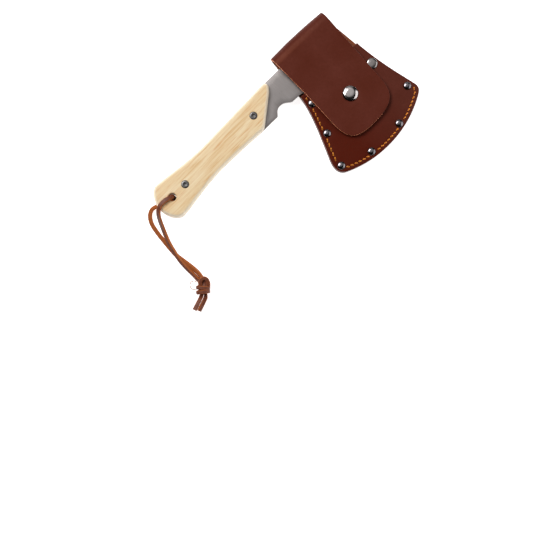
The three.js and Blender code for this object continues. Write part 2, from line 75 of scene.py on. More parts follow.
LEATHER = 3
POCKET_HALF = 2.9
PANEL_TOP = POCKET_HALF + LEATHER
PANEL_MIDDLE = POCKET_HALF + LEATHER / 2
FLAP_UNDER = 8.5
FLAP_TOP = FLAP_UNDER + LEATHER
MOUTH_LEFT, MOUTH_RIGHT = (142.8, -19.8), (221, -21.4)
BELLY_CENTRE, BELLY_RADIUS = Vector((171.9, -2.6)), 113
WELT_INNER_RADIUS, SEAM_RADIUS = 101, 109
FOLD_LEFT, FOLD_RIGHT = Vector((148.2, 19.64)), Vector((217.2, 17))
FOLD_CENTRE_Z = (FLAP_UNDER - POCKET_HALF) / 2
FOLD_RADIUS = FLAP_UNDER + LEATHER / 2 - FOLD_CENTRE_Z  # to the middle of the leather

RIVET_PLACES = [
    (146.1, -32.1), (135.6, -63.7), (122.7, -96.3),
    (154, -107.7), (193.3, -107.7), (225.8, -87.1),
]
RIVET_RADIUS, RIVET_HIGH, RIVET_POST_RADIUS = 4, 1.9, 1.15
SNAP_PLACE, SNAP_RADIUS = (179.3, -52.4), 7.9
SIDE_RIVET_PLACE, SIDE_RIVET_RADIUS = (216.6, -46.4), 5.7
SEAM_PRESS, RIVET_PRESS = 0.3, 0.28  # how far the leather is pressed in
STITCH_PITCH, STITCH_LENGTH = 4.6, 2.1
STITCH_HALF_WIDTH, STITCH_HALF_HEIGHT, STITCH_SLANT = 0.95, 0.65, 0.3

LACE_WIDTH, LACE_THICK = 4.0, 3.2
LACE_UNEVENNESS = 0.05

# ------------------------ how it lies

hinge = next(joint for joint in frame["joints"] if joint["name"] == "flap_hinge")
fold_along = (FOLD_RIGHT - FOLD_LEFT).normalized()
fold_across = Vector((-fold_along.y, fold_along.x))
fold_middle = Vector((183.2, 18.3))
hinge_place = (fold_middle + FOLD_RADIUS * fold_across).to_3d() + Vector((0, 0, FOLD_CENTRE_Z))
pitch = math.atan2(hinge["axis"][2], -hinge["axis"][0])
LIE = (
    Matrix.Translation(hinge["pos_m"])
    @ Matrix.Rotation(pitch, 4, "Y")
    @ Matrix.Scale(MM, 4)
    @ Matrix.Translation(-hinge_place)
)


def lying(x, y, height):
    """A point of the lanyard: beside the hatchet at x and y, and height above the floor."""
    start = LIE @ Vector((0, 0, 0))
    return Vector((start.x + x * MM, start.y + y * MM, height * MM))


# ------------------------ camera

PICTURE_MIDDLE = (-0.7, -114.0)
CAMERA_HEIGHT = 1.4882
CAMERA_LENS = 100
CAMERA_ROLL = math.radians(-45.29)

camera = bpy.data.objects.new("camera", bpy.data.cameras.new("camera"))
camera.data.lens = CAMERA_LENS
camera.data.sensor_width = 36
camera.location = lying(*PICTURE_MIDDLE, 0) + Vector((0, 0, CAMERA_HEIGHT))
camera.rotation_euler = (0, 0, CAMERA_ROLL)
bpy.context.scene.collection.objects.link(camera)
bpy.context.scene.camera = camera

# ------------------------ building meshes


class Build:
    """Points and faces on their way to a mesh. Each face has the number of its material."""

    def __init__(self):
        self.points = []
        self.faces = []
        self.kinds = []
        # lightening share at points: edge wear on leather rims, and painted highlight on the wooden rims
        # and the strap's fold
        self.wear_and_highlight = {}

    def add(self, points):
        first = len(self.points)
        self.points += [Vector(p) for p in points]
        return list(range(first, len(self.points)))

    def face(self, corners, kind=0):
        self.faces.append(list(corners))
        self.kinds.append(kind)

    def band(self, lower, upper, kind):
        """Faces between two rings of points. Seen from outside, the rings run to the right."""
        for i in range(len(lower)):
            j = (i + 1) % len(lower)
            self.face((lower[i], lower[j], upper[j], upper[i]), kind)


def make_piece(name, build, materials, body, replaces=(), place=LIE, smooth=40):
    """The mesh as a piece that rides on a CAD body."""
    mesh = bpy.data.meshes.new(name)
    mesh.from_pydata([place @ p for p in build.points], [], build.faces)
    for material in materials:
        mesh.materials.append(material)
    mesh.polygons.foreach_set("material_index", build.kinds)
    # this point attribute carries the rims' edge wear and the painted highlights
    wear_and_highlight = mesh.attributes.new("wear_and_highlight", "FLOAT", "POINT")
    for index, amount in build.wear_and_highlight.items():
        wear_and_highlight.data[index].value = amount
    edit = bmesh.new()
    edit.from_mesh(mesh)
    bmesh.ops.recalc_face_normals(edit, faces=edit.faces)
    edit.to_mesh(mesh)
    edit.free()
    mesh.shade_smooth()
    mesh.set_sharp_from_angle(angle=math.radians(smooth))
    piece = bpy.data.objects.new(name, mesh)
    bpy.context.scene.collection.objects.link(piece)
    if body:
        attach(piece, body)
    if replaces:
        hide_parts(*replaces)
    return piece


def bezier(points, t):
    while len(points) > 1:
        points = [a.lerp(b, t) for a, b in pairwise(points)]
    return points[0]


class Outline:
    """A closed flat outline, drawn anticlockwise with lines, Bezier curves and arcs."""

    def __init__(self, start, step=1.2):
        self.points = [Vector(start)]
        self.step = step

    def follow(self, point_at, length):
        count = max(2, round(length / self.step))
        self.points += [point_at(i / count) for i in range(1, count + 1)]
        return self

    def line(self, *to):
        start, end = self.points[-1], Vector(to)
        return self.follow(lambda t: start.lerp(end, t), (end - start).length)

    def curve(self, *controls):
        points = [self.points[-1]] + [Vector(c) for c in controls]
        length = sum((b - a).length for a, b in pairwise(points))
        return self.follow(lambda t: bezier(points, t), length)

    def arc(self, centre, radius, start, end):
        start, end = math.radians(start), math.radians(end)
        self.points.pop()
        self.points.append(circle_point(centre, radius, start))
        return self.follow(
            lambda t: circle_point(centre, radius, start + (end - start) * t), abs(end - start) * radius
        )

    def closed(self):
        points = self.points
        if (points[0] - points[-1]).length < self.step / 4:
            points = points[:-1]
        area = sum(a.cross(b) for a, b in pairwise(points + points[:1]))
        return points if area > 0 else points[::-1]


def circle_point(centre, radius, angle):
    return Vector((centre[0] + radius * math.cos(angle), centre[1] + radius * math.sin(angle)))


def inset(points, distance):
    """An anticlockwise outline moved inwards."""
    moved = []
    for i, point in enumerate(points):
        before = (point - points[i - 1]).normalized()
        after = (points[(i + 1) % len(points)] - point).normalized()
        inward = Vector((-before.y - after.y, before.x + after.x)).normalized()
        lean = max(0.55, inward.dot(Vector((-after.y, after.x))))
        moved.append(point + inward * (distance / lean))
    return moved


def is_inside(point, outline):
    inside = False
    for a, b in pairwise(outline + outline[:1]):
        if (a.y > point.y) != (b.y > point.y):
            if point.x < a.x + (point.y - a.y) * (b.x - a.x) / (b.y - a.y):
                inside = not inside
    return inside


def near(points):
    """A search tree for the distance to the nearest of some flat points."""
    tree = kdtree.KDTree(len(points))
    for i, point in enumerate(points):
        tree.insert((point[0], point[1], 0), i)
    tree.balance()
    return lambda x, y: tree.find((x, y, 0))[2]


def fill_points(outline, holes, spacing, lines):
    """Points in rows inside an outline, clear of its edge, its holes and the lines drawn on it."""
    clear = near(outline + [p for line in lines for p in line])
    low_x, high_x = min(p.x for p in outline), max(p.x for p in outline)
    low_y, high_y = min(p.y for p in outline), max(p.y for p in outline)
    found = []
    rows = int((high_y - low_y) / (spacing * 0.87))
    for row in range(1, rows + 1):
        y = low_y + row * spacing * 0.87
        for column in range(int((high_x - low_x) / spacing) + 1):
            point = Vector((low_x + (column + row % 2 / 2) * spacing, y))
            if clear(*point) < spacing * 0.6 or not is_inside(point, outline):
                continue
            if all((point - Vector(centre)).length > radius + spacing * 0.4 for centre, radius in holes):
                found.append(point)
    return found


HOLE_SIDES = 40
ENCLOSED_ONLY = 1  # leaves out the triangles outside the outermost edges


def hole_ring(centre, radius):
    return [circle_point(centre, radius, math.tau * i / HOLE_SIDES) for i in range(HOLE_SIDES)]


def triangles(outline, holes, spacing, lines):
    """Triangles over an outline with round holes. Lines become edges. Gives points and triangles."""
    rings = [outline] + [hole_ring(centre, radius) for centre, radius in holes]
    points = []
    edges = []
    for ring in rings:
        first = len(points)
        edges += [(first + i, first + (i + 1) % len(ring)) for i in range(len(ring))]
        points += ring
    for line in lines:
        first = len(points)
        edges += [(first + i, first + i + 1) for i in range(len(line) - 1)]
        points += line
    points += fill_points(outline, holes, spacing, lines)
    made, _, faces, sources, _, _ = geometry.delaunay_2d_cdt(points, edges, [], ENCLOSED_ONLY, 1e-5)
    place_of = {source: i for i, group in enumerate(sources) for source in group}
    hole_of = {place_of[len(outline) + i]: i // HOLE_SIDES for i in range(len(holes) * HOLE_SIDES)}
    in_hole = lambda face: len({hole_of.get(i, -i - 1) for i in face}) == 1
    return made, [face for face in faces if not in_hole(face)], place_of


def plate(
    outline, top, bottom, top_rim, bottom_rim, kinds,
    spacing=6, holes=(), lines=(), steps=4, edge_steps=0, kind_at=None,
):
    """A flat piece with rounded rims. top and bottom give the height at x and y.

    Each rim is a width and a depth. kinds are the materials of the top, the bottom and the edge, and the
    edge's goes on for edge_steps of the rims. Holes are (centre, radius, chamfer).
    """
    build = Build()
    edge_rows = []
    for is_top, (width, depth), height in ((False, bottom_rim, bottom), (True, top_rim, top)):
        side = 1 if is_top else -1
        rows = []
        for step in range(steps + 1):
            turn = step / steps * math.pi / 2
            ring = inset(outline, width * (1 - math.cos(turn))) if step else outline
            drop = depth * (1 - math.sin(turn))
            rows.append(build.add([(p.x, p.y, height(p.x, p.y) - side * drop) for p in ring]))
            # a share that is 1 at the outline and falls inwards: edge wear on leather, painted highlight
            # on the wood's rounded rims
            for index in rows[-1]:
                build.wear_and_highlight[index] = 1 - step / steps * 0.8
        edge_rows.append(rows[0])
        kind = kinds[0] if is_top else kinds[1]
        for step, (lower, upper) in enumerate(pairwise(rows)):
            rim_kind = kinds[2] if step < edge_steps else kind
            build.band(*((lower, upper) if is_top else (upper, lower)), rim_kind)
        inner = inset(outline, width)
        mouths = [(centre, radius + chamfer) for centre, radius, chamfer in holes]
        flat, faces, place_of = triangles(inner, mouths, spacing, list(lines))
        made = build.add([(p.x, p.y, height(p.x, p.y)) for p in flat])
        for i, index in enumerate(rows[-1]):
            made[place_of[i]] = index
        for face in faces:
            corners = [made[i] for i in face]
            centre = sum((flat[i] for i in face), Vector((0, 0))) / 3
            build.face(corners if is_top else corners[::-1], kind_at(centre) if kind_at else kind)
        starts = [
            [made[place_of[len(inner) + hole * HOLE_SIDES + i]] for i in range(HOLE_SIDES)]
            for hole in range(len(holes))
        ]
        for hole, (centre, radius, chamfer) in enumerate(holes):
            depth = height(*centre) - side * chamfer
            neck = build.add([(p.x, p.y, depth) for p in hole_ring(centre, radius)])
            build.band(*((starts[hole], neck) if is_top else (neck, starts[hole])), kinds[2])
            starts[hole] = neck
        edge_rows.append(starts)
    bottom_edge, bottom_holes, top_edge, top_holes = edge_rows
    build.band(bottom_edge, top_edge, kinds[2])
    for low, high in zip(bottom_holes, top_holes):
        build.band(high, low, kinds[2])
    return without_loose(build)


def without_loose(build):
    """The same build with only the points that a face uses."""
    used = sorted({i for face in build.faces for i in face})
    new_place = {old: new for new, old in enumerate(used)}
    build.points = [build.points[i] for i in used]
    build.faces = [[new_place[i] for i in face] for face in build.faces]
    build.wear_and_highlight = {new_place[i]: w for i, w in build.wear_and_highlight.items() if i in new_place}
    return build


def turned(place, profile, sides=48):
    """A profile of (radius, height) or (radius, height, lobes) points turned about an upright axis.

    The profile starts and ends on the axis or closes on itself.
    """
    build = Build()
    rows = []
    for radius, height, *lobes in profile:
        if radius == 0:
            rows.append(build.add([(*place, height)]) * sides)
            continue
        row = []
        for i in range(sides):
            angle = math.tau * i / sides
            wave = 1 + lobes[0] * math.cos(6 * angle) if lobes else 1
            row.append((*circle_point(place, radius * wave, angle), height))
        rows.append(build.add(row))
    if profile[0] == profile[-1]:
        rows[-1] = rows[0]
    for lower, upper in pairwise(rows):
        for i in range(sides):
            j = (i + 1) % sides
            corners = list(dict.fromkeys([lower[i], lower[j], upper[j], upper[i]]))
            if len(corners) > 2:
                build.face(corners)
    return without_loose(build)


def turned_piece(name, node, place, profile, material, body="sheath", sides=48):
    make_piece(name, turned(place, profile, sides), [material], body, [node])


def dome(radius, rim, top, steps):
    """Profile points from the rim of a dome to its top."""
    points = []
    for i in range(steps + 1):
        turn = i / steps * math.pi / 2
        points.append((radius * math.cos(turn), rim + (top - rim) * math.sin(turn)))
    points[-1] = (0, top)
    return points


def smooth_path(points):
    """A smooth line through points, close enough together to have their true length."""
    per_span = 6
    points = [Vector(p) for p in points]
    ends = [2 * points[0] - points[1]] + points + [2 * points[-1] - points[-2]]
    made = []
    for a, b, c, d in zip(ends, ends[1:], ends[2:], ends[3:]):
        for i in range(per_span):
            t = i / per_span
            bend, swing = (2 * a - 5 * b + 4 * c - d) * t**2, (3 * b - a - 3 * c + d) * t**3
            made.append(0.5 * (2 * b + (c - a) * t + bend + swing))
    return made + [points[-1]]


def path_length(path):
    return sum((b - a).length for a, b in pairwise(path))


def oval_section(sides, half_width, half_height):
    turns = [math.tau * i / sides for i in range(sides)]
    return [(half_width * math.cos(turn), half_height * math.sin(turn)) for turn in turns]


def sweep(build, path, section, kinds, up, twist=0.0, size=lambda t: 1.0, unit=MM):
    """Carries a closed section of (side, up) points along a path, turning as little as it can."""
    up = Vector(up)
    last = len(path) - 1
    rows = []
    for i, point in enumerate(path):
        along = (path[min(i + 1, last)] - path[max(i - 1, 0)]).normalized()
        up = (up - along * up.dot(along)).normalized()
        turn = Matrix.Rotation(twist * i / last, 3, along)
        out, side = turn @ up, turn @ along.cross(up)
        scale = unit * size(i / last)
        rows.append(build.add([point + side * (s * scale) + out * (u * scale) for s, u in section]))
    for lower, upper in pairwise(rows):
        count = len(section)
        for i in range(count):
            j = (i + 1) % count
            build.face((lower[i], lower[j], upper[j], upper[i]), kinds[i])
    build.face(rows[0][::-1], kinds[-1])
    build.face(rows[-1], kinds[-1])


# ------------------------ materials


class Nodes:
    """A node tree in the making. Inputs that are sockets are linked, and others are set as values."""

    def __init__(self, tree):
        self.tree = tree

    def add(self, kind, inputs=None, **settings):
        node = self.tree.nodes.new(kind)
        for key, value in settings.items():
            setattr(node, key, value)
        for key, value in (inputs or {}).items():
            self.put(node.inputs[key], value)
        return node

    def put(self, socket, value):
        if isinstance(value, bpy.types.NodeSocket):
            self.tree.links.new(value, socket)
        else:
            socket.default_value = value

    def ramp(self, factor, *stops):
        """Each stop is a place and a grey or a colour."""
        node = self.add("ShaderNodeValToRGB", {"Fac": factor})
        while len(node.color_ramp.elements) < len(stops):
            node.color_ramp.elements.new(0.5)
        for element, (place, colour) in zip(node.color_ramp.elements, stops):
            element.position = place
            element.color = (*colour, 1) if isinstance(colour, tuple) else (colour, colour, colour, 1)
        return node.outputs["Color"]

    def blend(self, factor, first, second):
        node = self.add("ShaderNodeMix", data_type="RGBA")
        for socket, value in ((node.inputs[0], factor), (node.inputs[6], first), (node.inputs[7], second)):
            self.put(socket, (*value, 1) if isinstance(value, tuple) else value)
        return node.outputs[2]

    def maths(self, how, first, second):
        return self.add("ShaderNodeMath", {0: first, 1: second}, operation=how).outputs[0]


class Shader(Nodes):
    """A node material."""

    def __init__(self, name):
        self.material = bpy.data.materials.new(name)
        self.material.use_nodes = True
        super().__init__(self.material.node_tree)
        self.surface = self.tree.nodes["Principled BSDF"]
        self.place = self.add("ShaderNodeTexCoord").outputs["Object"]

    def set(self, **inputs):
        for key, value in inputs.items():
            self.put(self.surface.inputs[key.replace("_", " ")], value)

    def stretched(self, x=1, y=1, z=1):
        """Object coordinates in millimetres, closer together along an axis by its number."""
        scale = (x / MM, y / MM, z / MM)
        return self.add("ShaderNodeMapping", {"Vector": self.place, "Scale": scale}).outputs["Vector"]

    def noise(self, vector, size, detail=3.0, roughness=0.55, distortion=0.0):
        """Noise from 0 to 1 with blobs of about that size in millimetres."""
        settings = {
            "Vector": vector, "Scale": 1 / size, "Detail": detail,
            "Roughness": roughness, "Distortion": distortion,
        }
        return self.add("ShaderNodeTexNoise", settings).outputs["Fac"]

    def cells(self, vector, size):
        return self.add("ShaderNodeTexVoronoi", {"Vector": vector, "Scale": 1 / size}).outputs["Distance"]

    # edge wear on leather rims, and painted highlight on the wooden rims and along the strap's fold
    def wear_and_highlight_mask(self):
        return self.add("ShaderNodeAttribute", attribute_name="wear_and_highlight").outputs["Fac"]

    def bump(self, height, depth, strength, under=None):
        """Raises the surface by depth millimetres where height is 1."""
        inputs = {"Height": height, "Distance": depth * MM, "Strength": strength}
        if under:
            inputs["Normal"] = under
        return self.add("ShaderNodeBump", inputs).outputs["Normal"]


def rgb(red, green, blue):
    """A colour as a screen shows it, from 0 to 255, as the light it stands for."""
    shown = [c / 255 for c in (red, green, blue)]
    return tuple(c / 12.92 if c < 0.04 else ((c + 0.055) / 1.055) ** 2.4 for c in shown)


HEEL_TONE_FROM, HEEL_TONE_TO = 112, 52  # the world's X, in millimetres, at the toe side and the heel side


def grain_leather(name, dark, light, heel=None):
    """Polished brown leather. A heel colour comes in from the toe side of the sheath to its heel side."""
    s = Shader(name)
    even = s.stretched()
    patches = s.noise(even, 26, detail=4)
    mottle = s.noise(even, 2.2, detail=5)
    colour = s.ramp(patches, (0.3, dark), (0.72, light))
    if heel:
        x = s.add("ShaderNodeSeparateXYZ", {"Vector": even}).outputs["X"]
        ends = {"From Min": HEEL_TONE_FROM, "From Max": HEEL_TONE_TO}
        heel_share = s.add("ShaderNodeMapRange", {"Value": x, **ends}).outputs["Result"]
        colour = s.blend(heel_share, colour, heel)
    colour = s.blend(s.ramp(mottle, (0.35, 0.0), (0.75, 0.35)), colour, rgb(72, 24, 10))
    # lighter where worn at the rims, and a painted highlight along the strap's fold
    colour = s.blend(s.ramp(s.wear_and_highlight_mask(), (0.55, 0.0), (1.0, 0.5)), colour, rgb(128, 66, 46))
    pores = s.cells(even, 0.62)
    fine = s.noise(even, 0.35, detail=4)
    normal = s.bump(pores, 0.05, 0.45)
    normal = s.bump(fine, 0.04, 0.4, under=normal)
    normal = s.bump(patches, 0.5, 0.25, under=normal)
    rough = s.ramp(mottle, (0.3, 0.43), (0.7, 0.56))
    s.set(Base_Color=colour, Roughness=rough, Normal=normal)
    s.set(Specular_IOR_Level=0.16, Specular_Tint=(1, 0.66, 0.52, 1))
    return s.material


def flesh_leather():
    s = Shader("tan_flesh_side")
    even = s.stretched()
    fibres = s.noise(s.stretched(x=0.5), 0.5, detail=5, roughness=0.7)
    patches = s.noise(even, 7, detail=4)
    colour = s.ramp(patches, (0.3, rgb(128, 66, 36)), (0.75, rgb(156, 88, 50)))
    colour = s.blend(s.ramp(fibres, (0.3, 0.5), (0.7, 0.0)), colour, rgb(96, 46, 24))
    rough = s.ramp(fibres, (0.0, 0.8), (1.0, 0.95))
    s.set(Base_Color=colour, Roughness=rough, Normal=s.bump(fibres, 0.18, 0.7))
    return s.material


def fibrous(name, stretch, fibre, dark, light, rough, bump, ends=(0.3, 0.7), sheen=0.0):
    """A material whose colour, roughness and height all follow the same fibres.

    fibre is the size, detail and roughness of their noise, and bump is its depth and strength. The
    colour goes from dark to light between the two ends of the noise.
    """
    s = Shader(name)
    fibres = s.noise(s.stretched(**stretch), *fibre)
    colour, roughness = s.ramp(fibres, (ends[0], dark), (ends[1], light)), s.ramp(fibres, *rough)
    s.set(Base_Color=colour, Roughness=roughness, Normal=s.bump(fibres, *bump), Sheen_Weight=sheen)
    return s.material


def pale_wood():
    s = Shader("pale_oiled_wood")
    along = s.stretched(x=0.045, y=1, z=1)
    bend = s.noise(s.stretched(x=0.4, y=1, z=1), 22, detail=2)
    rings = s.noise(along, 2.4, detail=6, roughness=0.62, distortion=0.35)
    lines = s.noise(s.stretched(x=0.02, y=1.6, z=1.6), 1.7, detail=3, roughness=0.5)
    pores = s.noise(s.stretched(x=0.05, y=3, z=3), 0.7, detail=3)
    tones = (0.3, rgb(222, 182, 128)), (0.48, rgb(235, 206, 160)), (0.7, rgb(244, 224, 187))
    colour = s.ramp(rings, *tones)
    streaks = s.ramp(lines, (0.56, 0.0), (0.7, 0.9))
    streaks = s.maths("MULTIPLY", streaks, s.ramp(bend, (0.4, 0.25), (0.65, 1.0)))
    colour = s.blend(streaks, colour, rgb(216, 154, 92))
    colour = s.blend(s.ramp(pores, (0.25, 0.35), (0.45, 0.0)), colour, rgb(200, 150, 100))
    # painted highlight: the rounded rims are lighter towards their outer edge
    colour = s.blend(s.ramp(s.wear_and_highlight_mask(), (0.22, 0.0), (0.55, 0.85)), colour, rgb(255, 242, 218))
    normal = s.bump(rings, 0.08, 0.4)
    normal = s.bump(pores, 0.05, 0.5, under=normal)
    s.set(Base_Color=colour, Roughness=s.ramp(rings, (0.3, 0.42), (0.7, 0.55)), Normal=normal)
    s.set(Specular_IOR_Level=0.4)
    return s.material


def brushed_steel(name, dark, light, streak, roughness, y=1.0):
    """Steel with fine lines, streak millimetres apart, and longer along the world's Y for a smaller y."""
    s = Shader(name)
    lines = s.noise(s.stretched(y=y, z=y), streak, detail=4, roughness=0.7)
    cloud = s.noise(s.stretched(), 18, detail=3)
    colour = s.ramp(lines, (0.3, dark), (0.7, light))
    colour = s.blend(s.ramp(cloud, (0.35, 0.0), (0.7, 0.35)), colour, light)
    rough = s.ramp(lines, (0.25, roughness - 0.07), (0.75, roughness + 0.09))
    s.set(Base_Color=colour, Metallic=1.0, Roughness=rough, Normal=s.bump(lines, 0.02, 0.35))
    return s.material


def plated(name, dark, light, roughness):
    s = Shader(name)
    haze = s.noise(s.stretched(), 1.6, detail=5)
    scratches = s.noise(s.stretched(x=0.15), 0.25, detail=2)
    rough = s.ramp(haze, (0.3, roughness), (0.75, roughness + 0.14))
    colour = s.ramp(haze, (0.3, light), (0.8, dark))
    s.set(Base_Color=colour, Metallic=1.0, Roughness=rough, Normal=s.bump(scratches, 0.006, 0.25))
    return s.material


def lace_grain():
    s = Shader("dark_lace_grain")
    blotches = s.noise(s.stretched(), 5, detail=4)
    fine = s.noise(s.stretched(), 0.4, detail=4)
    colour = s.ramp(blotches, (0.3, rgb(88, 38, 18)), (0.7, rgb(128, 66, 36)))
    rough = s.ramp(fine, (0.2, 0.45), (0.8, 0.65))
    s.set(Base_Color=colour, Roughness=rough, Normal=s.bump(fine, 0.06, 0.5))
    return s.material


GRAIN = grain_leather("brown_grain_leather", rgb(84, 30, 17), rgb(94, 41, 31))
PANEL_GRAIN = grain_leather("panel_grain_leather", rgb(82, 34, 24), rgb(92, 42, 33), heel=rgb(79, 15, 0))
FLESH, WOOD, LACE = flesh_leather(), pale_wood(), lace_grain()
CUT = fibrous(
    "tan_cut_edge", {"z": 3}, (0.9, 5, 0.65), rgb(232, 136, 94), rgb(255, 172, 130),
    rough=((0, 0.6), (1, 0.8)), bump=(0.12, 0.6),
)
DYED = fibrous(
    "dark_dyed_edge", {"z": 3}, (0.9, 5, 0.65), rgb(66, 26, 18), rgb(92, 44, 34),
    rough=((0, 0.45), (1, 0.65)), bump=(0.08, 0.5),
)
# painted shade: the lace hole's wall in the wood is coloured near black
BORE_PAINTED_SHADE = fibrous(
    "bore_wood_painted_shade", {"z": 0.3}, (0.6, 4, 0.55), rgb(40, 20, 10), rgb(74, 44, 26),
    rough=((0.3, 0.7), (0.7, 0.85)), bump=(0.1, 0.5),
)
THREAD = fibrous(
    "orange_waxed_thread", {}, (0.45, 4, 0.55), rgb(255, 130, 0), rgb(255, 176, 0),
    rough=((0, 0.5), (1, 0.7)), bump=(0.08, 0.6), sheen=0.3,
)
SUEDE = fibrous(
    "orange_lace_suede", {}, (0.5, 5, 0.7), rgb(126, 58, 16), rgb(188, 106, 44),
    rough=((0, 0.8), (1, 0.95)), bump=(0.15, 0.7), ends=(0.25, 0.75),
)
STEEL = brushed_steel("brushed_steel_face", (0.25, 0.228, 0.22), (0.335, 0.305, 0.297), 0.3, 0.33, y=0.02)
BEVEL = brushed_steel("ground_steel_bevel", (0.42, 0.405, 0.4), (0.54, 0.525, 0.515), 0.5, 0.44, y=0.05)
HONED = brushed_steel("honed_steel_edge", (0.7, 0.7, 0.69), (0.82, 0.82, 0.81), 0.3, 0.38, y=0.3)
SCREW = brushed_steel("machined_screw_steel", (0.09, 0.086, 0.084), (0.19, 0.182, 0.178), 0.5, 0.3)
NICKEL = plated("dark_nickel", (0.14, 0.125, 0.135), (0.25, 0.235, 0.25), 0.12)
DULL_CHROME = plated("dull_chrome", (0.26, 0.235, 0.228), (0.36, 0.33, 0.32), 0.14)
CHROME = plated("bright_chrome", (0.44, 0.4, 0.39), (0.58, 0.54, 0.53), 0.1)

# ------------------------ lanyard

FRONT_ROUTE = [
    (-16.8, 0.3, 17.9), (-16.6, 0.3, 21), (-16.5, 0.4, 24.4), (-17.1, 0.5, 28.2), (-19.7, 1.2, 31.3),
    (-24, 2.4, 32.5), (-27.6, 2.8, 32.5), (-31.5, 2.6, 32.1), (-35.6, 0.9, 30.6), (-39.7, -2.6, 25.6),
    (-43.1, -7.7, 17.6), (-46.3, -13.7, 10.6), (-49.5, -20.3, 6.8), (-52.6, -28, 5.8), (-54.6, -35.6, 6),
    (-56.4, -43, 6.1), (-57.6, -50.6, 5.4), (-58, -58, 3.4), (-58, -65, 2.2), (-58.1, -70.6, 2.2),
    (-58.4, -74.8, 2.8),
]
BACK_ROUTE = [
    (-16.9, -0.2, 17), (-16.4, -1, 13.4), (-16.6, -0.9, 9.6), (-18.2, -0.2, 5.8), (-21.3, 1.1, 2.9),
    (-25, 2.6, 2.2), (-30, 4.6, 2.2), (-35.4, 6.8, 2.2), (-41.1, 7.8, 2.2), (-46.7, 4.9, 2.2),
    (-51.2, -1.8, 2.2), (-53.4, -10.9, 2.2), (-54.9, -22.2, 2.2), (-56, -33.7, 2.2), (-56.3, -41.8, 2.2),
    (-55.3, -50, 2.2), (-54, -59.5, 2.2), (-53.4, -67.8, 2.2), (-53.7, -72.4, 2.4), (-54.5, -76, 3),
]
LONG_TAIL_ROUTE = [(-67.4, -88.3, 3.2), (-71, -89.6, 2.2), (-76.6, -91.4, 2.2), (-82.6, -93.4, 2.2)]
SHORT_TAIL_ROUTE = [(-65.2, -92.2, 3), (-69.2, -93.8, 2.2), (-74.4, -95.5, 2.2), (-80, -97.3, 2.2)]
KNOT_CENTRE = Vector((-59.4, -83.6, 5.7))


def lace_section(width=LACE_WIDTH, thick=LACE_THICK):
    """The lace's rounded section, and the material of each of its sides: grain on top, suede elsewhere."""
    half, high = width / 2, thick / 2
    corner, side_bulge, top_bulge = 0.55, 0.08, 0.06
    points = [
        (half, -high + corner), (half + side_bulge, 0), (half, high - corner),
        (half - corner * 0.7, high), (half * 0.3, high + top_bulge),
        (-half * 0.3, high + top_bulge), (-half + corner * 0.7, high),
        (-half, high - corner), (-half - side_bulge, 0), (-half, -high + corner),
        (-half + corner, -high), (half - corner, -high),
    ]
    kinds = [1, 1, 1, 0, 0, 0, 1, 1, 1, 1, 1, 1]
    return points, kinds


def uneven(seed):
    """A little change of size along a lace, always the same for a seed."""
    return lambda t: 1 + LACE_UNEVENNESS * noise.noise(Vector((t * 9, seed, 0.3)))


def lace(build, points, up, twist=0.0, seed=1.0, **size):
    section, kinds = lace_section(**size)
    path = smooth_path([lying(*p) for p in points])
    sweep(build, path, section, kinds, up, twist, uneven(seed))
    return path


def lanyard_piece(name, build, node):
    """A piece of the lanyard, whose points are in the world already."""
    materials = [LACE, SUEDE]
    return make_piece(
        name, build, materials, "hatchet", [node], Matrix.Identity(4), smooth=50
    )


def strand(name, route, up, twist, seed, node):
    build = Build()
    path = lace(build, route, up, twist, seed)
    return lanyard_piece(name, build, node), path


def in_knot(right, down, up):
    """A point of the knot. Right and down are as seen with the handle pointing up and to the right."""
    slant = math.sqrt(0.5)
    offset = Vector(((right - down) * slant, -(right + down) * slant, up))
    return KNOT_CENTRE + offset


def knot():
    """An overhand knot in the doubled lace: two turns round both strands, and the bight out of them."""
    build = Build()
    turn_width, turn_height = 5.7, 3.7
    first_angle, angle_step, drift = -150, 22, 0.05
    for seed, (down, lean) in enumerate(((0.6, 0.7), (4.6, -0.5))):
        turn = []
        for i in range(17):
            angle = math.radians(first_angle + i * angle_step)
            right = -0.6 + turn_width * math.cos(angle)
            sway = lean * math.cos(angle) + i * drift
            turn.append(in_knot(right, down + sway, turn_height * math.sin(angle)))
        lace(build, turn, (0, 0, -1), seed=seed + 3.0, width=3.8, thick=2.7)
    high_bight = [
        (-3.2, 3, 0.5), (-3.6, -3, 1.8), (-2.4, -7.2, 2.6), (1.2, -8.8, 2.7),
        (4.2, -6, 2.4), (4.8, -1, 1), (3, 4, 0),
    ]
    low_bight = [
        (-1, 3, -2), (-1.8, -3, -1.8), (-0.6, -5.8, -1.6), (1.6, -6.6, -1.4), (3, -4, -1.5), (3, 2, -2),
    ]
    for seed, bight in enumerate((high_bight, low_bight)):
        lace(build, [in_knot(*p) for p in bight], (0, 0, 1), seed=seed + 6.0, width=3.6, thick=2.6)
    through = ((FRONT_ROUTE, LONG_TAIL_ROUTE), (BACK_ROUTE, SHORT_TAIL_ROUTE))
    for seed, (route_in, route_out) in enumerate(through):
        middle = in_knot(-1.5 + 2 * seed, 1, -1.2)
        core = [route_in[-2], route_in[-1], middle, route_out[0], route_out[1]]
        lace(build, core, (0, 0, 1), seed=seed + 8.0, width=3.6, thick=2.8)
    hair = [(-7, -4.5, 1), (-10, -6, 1), (-13.2, -4, 0.5), (-13.6, -0.6, 0), (-11.4, 2.2, 0), (-7, 3.2, 0)]
    path = smooth_path([lying(*in_knot(*p)) for p in hair])
    sweep(build, path, oval_section(6, 0.34, 0.34), [1] * 6, (0, 0, 1))
    return lanyard_piece("lace_knot", build, "lanyard_knot")


